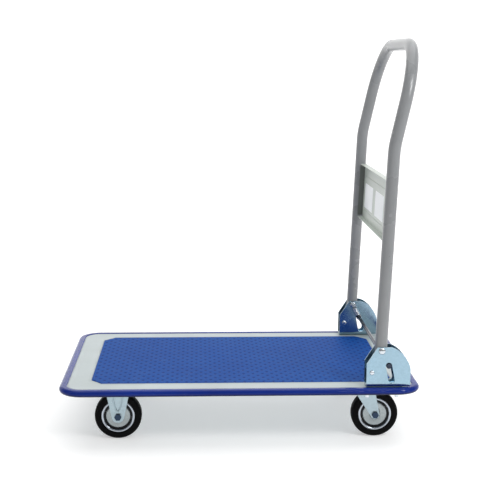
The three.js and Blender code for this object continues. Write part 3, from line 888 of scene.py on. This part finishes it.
lockSizes = {
    "wire": 0.85,            # spring wire radius, coil radius and number of turns
    "coil": 4.7,
    "turns": 11,
    "steps": 16,             # points to each turn
    "hookGap": 0.3,          # between a hook and the bolt or bar inside it
    "hookLead": 2.6,         # from a hook to the first coil
    "firstHook": (50, 301),  # degrees, from and to
    "lastHook": (240, 491),
    "hookStep": 20,
    "barRadius": 4.0,
    "barEnd": 6.0,           # radius of the bar's thicker ends
    "barShoulder": 190.2,    # where they start, from the middle of the cart
    "headRadius": 7.0,       # pivot bolt
    "headHeight": 3.6,
    "shank": 4.0,
}
bar = middleOf("release_bar")
barReach = boxOf("release_bar")[1][1]


# A round-topped head on a plain shank: the section is a quarter ellipse on top of a straight step.
def buildPivotBolt(label, side):
    s = lockSizes
    radius, height, shank = s["headRadius"], s["headHeight"], s["shank"]
    x, _, z = middleOf(f"pivot_bolt_{label}")
    inner, outer = sorted(abs(corner[1]) for corner in boxOf(f"pivot_bolt_{label}"))
    t = np.linspace(0, math.pi / 2, 9)[:-1]
    dome = np.stack([radius * np.cos(t), outer - height + height * np.sin(t)], -1).tolist()
    profile = [(0, inner), (shank - 0.5, inner), (shank, inner + 0.5), (shank, outer - height - 0.6),
               (radius - 0.2, outer - height - 0.5), *dome, (0, outer)]
    points, faces = cappedTurned([(r, v * side) for r, v in profile], (x, 0, z), "y", 32)
    makePiece(f"pivotBolt_{label}", points, faces, brightZinc, "base", [f"pivot_bolt_{label}"], 40)


# A spacer between the cheeks, with a flattened dome at each end.
def buildStopPin(label, side):
    x, _, z = middleOf(f"stop_pin_{label}")
    inner, outer = sorted(abs(corner[1]) for corner in boxOf(f"stop_pin_{label}"))
    profile = [(0, inner), (3.2, inner + 0.3), (4.6, inner + 1.1), (5.0, inner + 2.1), (3.0, inner + 2.2),
               (3.0, inner + 4.8), (6.0, inner + 4.9), (6.0, outer - 4.9), (3.0, outer - 4.8),
               (3.0, outer - 2.2), (5.0, outer - 2.1), (4.6, outer - 1.0), (3.4, outer - 0.25),
               (1.6, outer - 0.02), (0, outer)]
    points, faces = cappedTurned([(r, v * side) for r, v in profile], (x, 0, z), "y", 28)
    makePiece(f"stopPin_{label}", points, faces, brightZinc, "base", [f"stop_pin_{label}"], 40)


# A hook round the pivot bolt, a close coil, and a hook round the bar, along the line between them.
# A hook is an arc in the plane of the line; the coil is a circle that moves along it.
def springPath(y):
    s = lockSizes
    start = np.array([pivot[0], y, pivot[2]])
    finish = np.array([bar[0], y, bar[2]])
    length = np.linalg.norm(finish - start)
    along = (finish - start) / length
    across = np.array([along[2], 0, -along[0]])
    hook = s["barRadius"] + s["wire"] + s["hookGap"]
    lead = hook + s["hookLead"]
    firstTurn = np.radians(np.arange(*s["firstHook"], s["hookStep"]))[:, None]
    lastTurn = np.radians(np.arange(*s["lastHook"], s["hookStep"]))[:, None]
    t = np.linspace(0, 1, s["turns"] * s["steps"] + 1)[:, None]
    turn = 2 * math.pi * s["turns"] * t - math.pi / 2
    coil = start + along * (lead + (length - 2 * lead) * t) + across * s["coil"] * np.sin(turn)
    coil = coil + np.array([0, s["coil"], 0]) * np.cos(turn)
    firstHook = start + (along * np.cos(firstTurn) + across * np.sin(firstTurn)) * hook
    lastHook = finish + (along * np.cos(lastTurn) + across * np.sin(lastTurn)) * hook
    return np.vstack([firstHook, coil, lastHook])


# Brackets with their bolts and pins, the springs, and the bar, a turned rod with thicker ends.
def buildLock():
    s = lockSizes
    for label, side in (("near", -1), ("far", 1)):
        nodeCopy(f"bracket_{label}_plate", f"bracket_{label}", zincPlate)
        buildPivotBolt(label, side)
        nodeCopy(f"pivotNut_{label}", f"pivot_nut_{label}", brightZinc)
        buildStopPin(label, side)
        for end in ("front", "rear"):
            nodeCopy(f"bracketBolt_{label}_{end}", f"bracket_bolt_{label}_{end}", brightZinc, 0.35)
            nodeCopy(f"bracketNut_{label}_{end}", f"bracket_nut_{label}_{end}", brightZinc, 0.4)
        name = f"release_spring_{label}"
        points, faces = sweptTube(springPath(middleOf(name)[1]), s["wire"], 8)
        spring = makePiece(f"releaseSpring_{label}", points, faces, brightZinc, None, [name], 60)
        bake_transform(spring)
    end = s["barEnd"]
    rod = s["barRadius"]
    step = s["barShoulder"]
    half = [(rod, step), (end - 1, step + 0.3), (end, step + 1.3), (end, barReach - 1.2),
            (end - 1.2, barReach), (0, barReach)]
    profile = [(r, -v) for r, v in half[::-1]] + half
    points, faces = cappedTurned(profile, (bar[0], 0, bar[2]), "y", 28)
    makePiece("releaseBar", points, faces, barSteel, "release_bar", ["release_bar"], 40)


buildLock()
print("brackets and lock built")


# casters

wheelSizes = {
    "radius": 49.0,
    "segments": 96,
}


# A profile of (radius, distance) given for one face of the wheel, and the same on the other face.
def mirrored(half):
    return [(r, -v) for r, v in half] + [(r, v) for r, v in half[::-1]]


# Four rings round the axle: tyre, bright ring, a groove painted near-black as the shade of its deep recess, and
# the disc with its hub.
def buildWheel(label, body):
    centre = middleOf(f"wheel_rim_{label}")
    tyreFace = [(35.2, 11.2), (35.4, 12.0), (36.2, 12.4), (38.0, 12.5), (40.6, 12.5), (41.4, 12.3),
                (42.2, 12.45), (44.4, 12.3), (46.4, 11.6), (47.9, 10.2), (48.7, 8.2), (48.95, 6.0),
                (wheelSizes["radius"], 3.0)]
    ringFace = [(29.6, 5.0), (29.7, 10.6), (30.1, 11.7), (31.0, 12.5), (32.2, 12.9), (33.6, 12.7),
                (34.6, 12.0), (35.0, 11.0)]
    grooveFace = [(25.9, 4.0), (25.9, 7.2), (26.6, 7.0), (28.6, 7.0), (29.3, 7.4), (29.3, 4.0)]
    hubFace = [(7.1, 13.9), (7.5, 14.2), (9.6, 14.2), (10.3, 13.9), (10.6, 13.0), (11.2, 12.0), (12.4, 11.4),
               (16.0, 11.0), (21.5, 10.7), (22.6, 10.9), (23.6, 10.9), (24.8, 10.3), (25.5, 9.2), (25.6, 3.0)]
    for name, face, material, node, slot in (
            ("tyre", tyreFace, rubber, [f"wheel_tyre_{label}"], "rubber"),
            ("rimRing", ringFace, rimSteel, [], "hub"),
            # painted shade: the groove's near-black stands in for the shade of its deep recess
            ("rimGrooveShade", grooveFace, plugPlasticAndGrooveShade, [], "rubber"),
            ("wheelHub", hubFace, hubZinc, [f"wheel_rim_{label}"], "hub")):
        points, faces = closedTurned(mirrored(face), centre, "y", wheelSizes["segments"])
        makePiece(f"{name}_{label}", points, faces, material, body, node, 50)


casterSizes = {
    "bushGap": 0.3,          # from the axle bush to the leg
    "leg": 2.4,              # thickness of the leg
    "rib": 1.6,              # radius of the pressed rib
    "ribPoints": 40,
    "boltX": 36.0,           # plate bolts, from the plate's middle
    "boltY": 23.0,
    "plate": 3.0,
    "boltSegments": 24,
}


# A half-round bead down, round above the axle, and up again, on the leg's outer face. Its corners are
# rounded by averaging each point with two on either side.
def forkRib(name, centre, y):
    down = np.array([(-12.5, 60), (-11.0, 46), (-8.6, 32), (-5.8, 21), (-3.0, 14.6), (0, 12.6)])
    loop = np.vstack([down, (down * [-1, 1])[::-1][1:]])
    t = np.linspace(0, 1, casterSizes["ribPoints"])
    place = np.linspace(0, 1, len(loop))
    sides = [np.pad(np.interp(t, place, side), 2, mode="edge") for side in loop.T]
    x, z = (np.convolve(side, np.ones(5) / 5, "valid") for side in sides)
    path = np.stack([centre[0] + x, np.full(len(t), y), centre[2] + z], -1)
    points, faces = sweptTube(path, casterSizes["rib"], 10)
    makePiece(name, points, faces, zincLeg, "base", sharp=50)


def buildCasters():
    for label in ("near", "far"):
        nodeCopy(f"fixedFork_{label}", f"fixed_fork_{label}", zincLeg)
        nodeCopy(f"swivelFork_{label}", f"swivel_fork_{label}", zincLeg)
        nodeCopy(f"swivelPlate_{label}", f"swivel_plate_{label}", zincPlate)
        nodeCopy(f"swivelRace_{label}", f"swivel_race_{label}", brightZinc, 0.6)
        nodeCopy(f"swivelKingpin_{label}", f"swivel_kingpin_{label}", brightZinc, 0.6)
        for end in ("front", "rear"):
            key = f"{end}_{label}"
            nodeCopy(f"axleBolt_{key}", f"axle_bolt_{key}", darkSteel)
            nodeCopy(f"axleNut_{key}", f"axle_nut_{key}", darkSteel)
            nodeCopy(f"axleBush_{key}", f"axle_bush_{key}", darkSteel, 0.3)
            buildWheel(key, f"wheel_{key}")
        wheel = middleOf(f"wheel_rim_front_{label}")
        low, high = boxOf(f"axle_bush_front_{label}")
        reach = (high[1] - low[1]) / 2 + casterSizes["bushGap"] + casterSizes["leg"]
        for face, way in (("a", -1), ("b", 1)):
            forkRib(f"forkRib_{label}_{face}", wheel, wheel[1] + way * reach)


# Rails, and four turned bolts through each caster's plate.
def buildUnderside():
    for node in ("side_rail_near", "side_rail_far", "cross_rail_front", "cross_rail_rear"):
        words = node.split("_")
        nodeCopy(words[0] + "".join(w.title() for w in words[1:]), node, zincPlate, 0.4)
    stepX, stepY = casterSizes["boltX"], casterSizes["boltY"]
    for node in ("fixed_fork_near", "fixed_fork_far", "swivel_plate_near", "swivel_plate_far"):
        middle = middleOf(node)
        bottom = boxOf(node)[1][2] - casterSizes["plate"]
        profile = [(0, bottom - 5.2), (4.6, bottom - 5.2), (5.6, bottom - 4.6), (5.8, bottom - 1.6),
                   (8.0, bottom - 1.5), (8.0, bottom - 0.2), (4.0, bottom - 0.1), (4.0, bottom + 3.2),
                   (0, bottom + 3.2)]
        parts = []
        for x, y in ((-stepX, -stepY), (stepX, -stepY), (stepX, stepY), (-stepX, stepY)):
            centre = (middle[0] + x, middle[1] + y, 0)
            parts.append(cappedTurned(profile, centre, "z", casterSizes["boltSegments"]))
        points, faces = joinParts(parts)
        makePiece("plateBolts_" + node, points, faces, brightZinc, "base")


buildCasters()
buildUnderside()
print("casters built")


# room, lights and camera

roomSizes = {                # metres
    "half": 30.0,            # half width of the floor
    "back": 2.6,             # where the floor starts to curve up into the wall
    "curve": 1.2,
    "top": 5.0,
    "tones": (0.72, 0.75),
    "glow": 0.40,
}


# The floor runs back, curves up in a quarter circle, and goes on as a wall.
def buildRoom():
    s = roomSizes
    g = Graph(bpy.data.materials.new("paleFloor"))
    tone = g.noise(3.0, 2.0)
    white = g.blend(g.spread(tone, 0.3, 0.7), (s["tones"][0],) * 3, (s["tones"][1],) * 3)
    material = g.finish(white, g.spread(tone, 0.3, 0.7, 0.7, 0.8), Specular_IOR_Level=0.1,
                        Emission_Color=(1, 1, 1, 1), Emission_Strength=s["glow"])
    turn = np.linspace(0, math.pi / 2, 24)
    y = np.concatenate([[-s["half"]], s["back"] + s["curve"] * np.sin(turn), [s["back"] + s["curve"]]])
    z = np.concatenate([[0.0], s["curve"] * (1 - np.cos(turn)), [s["top"]]])
    x = np.array([-s["half"], s["half"]])
    points = np.stack([np.tile(x, len(y)), np.repeat(y, 2), np.repeat(z, 2)], -1)
    mesh = bpy.data.meshes.new("studioFloor")
    mesh.from_pydata(points.tolist(), [], [face[::-1] for face in gridFaces(len(y), 2)])
    mesh.update()
    if mesh.polygons[0].normal.z < 0:
        mesh.flip_normals()
    mesh.polygons.foreach_set("use_smooth", np.ones(len(mesh.polygons), bool))
    floor = bpy.data.objects.new("studioFloor", mesh)
    floor.data.materials.append(material)
    bpy.context.scene.collection.objects.link(floor)


lightSizes = {               # place, aim and size in metres, power in watts
    "topLight": ((0.0, 0.1, 2.9), (0, 0, 0.2), (3.4, 2.2), 34.0),
    "backLight": ((0.3, 2.2, 1.9), (0.1, 0, 0.4), (3.0, 0.9), 3.0),
    "wallLight": ((0.0, 1.7, 3.3), (0, 3.6, 1.0), (4.5, 0.8), 75.0),
    "frontLight": ((1.15, -1.25, 1.3), (0.3, -0.2, 0.45), (0.4, 0.6), 14.0),
    "leftLight": ((-2.5, -0.9, 1.5), (0, 0, 0.35), (0.7, 1.8), 3.0),
    "rightLight": ((2.4, -1.2, 1.6), (0.2, 0, 0.5), (0.6, 1.6), 4.0),
    "strobe": ((0.7, -2.2, 2.3), (0.3, 0, 0.7), (0.25, 0.25), 4.0),
}
skySizes = {                 # brightness overhead, at the horizon and below it
    "zenith": 0.44,
    "horizon": 0.30,
    "ground": 0.08,
}
cameraSizes = {
    "place": (-0.08442, -2.32785, 0.78590),
    "yaw": 0.0381,           # turned towards the handle end
    "pitch": 0.1673,         # looking down
    "roll": 0.0036,
    "lens": 80.903,
    "sensor": 36,
    "shiftX": 0.0019,
    "reach": 50,             # metres
}


def buildLights():
    for name, (place, aim, size, power) in lightSizes.items():
        data = bpy.data.lights.new(name, "AREA")
        data.shape = "RECTANGLE"
        data.size, data.size_y = size
        data.energy = power
        lamp = bpy.data.objects.new(name, data)
        lamp.location = place
        lamp.rotation_euler = (Vector(aim) - Vector(place)).to_track_quat("-Z", "Y").to_euler()
        bpy.context.scene.collection.objects.link(lamp)


# Brightness by height: straight down is 0 on the ramp, the horizon 0.5, straight up 1.
def buildSky():
    ground, horizon, zenith = ((skySizes[key],) * 3 for key in ("ground", "horizon", "zenith"))
    world = bpy.data.worlds.new("studio")
    g = Graph(world, "Background")
    direction = g.node("ShaderNodeTexCoord", output="Generated")
    height = g.node("ShaderNodeSeparateXYZ", inputs=[direction], output=2)
    raised = g.node("ShaderNodeMapRange", inputs={"Value": height, "From Min": -1.0})
    stops = [(0.0, ground), (0.49, ground), (0.53, horizon), (1.0, zenith)]
    g.feed(g.shader.inputs["Color"], g.node("ShaderNodeValToRGB", {"stops": stops}, [raised]))
    bpy.context.scene.world = world


def buildCamera():
    s = cameraSizes
    data = bpy.data.cameras.new("camera")
    data.sensor_width = s["sensor"]
    data.lens = s["lens"]
    data.shift_x = s["shiftX"]
    data.clip_end = s["reach"]
    camera = bpy.data.objects.new("camera", data)
    turn = Matrix.Rotation(-s["yaw"], 4, "Z")
    turn = turn @ Matrix.Rotation(math.pi / 2 - s["pitch"], 4, "X") @ Matrix.Rotation(s["roll"], 4, "Z")
    camera.matrix_world = Matrix.Translation(s["place"]) @ turn
    bpy.context.scene.collection.objects.link(camera)
    bpy.context.scene.camera = camera
    bpy.context.scene.view_settings.view_transform = "Standard"


buildRoom()
buildLights()
buildSky()
buildCamera()
print("room, lights and camera set")
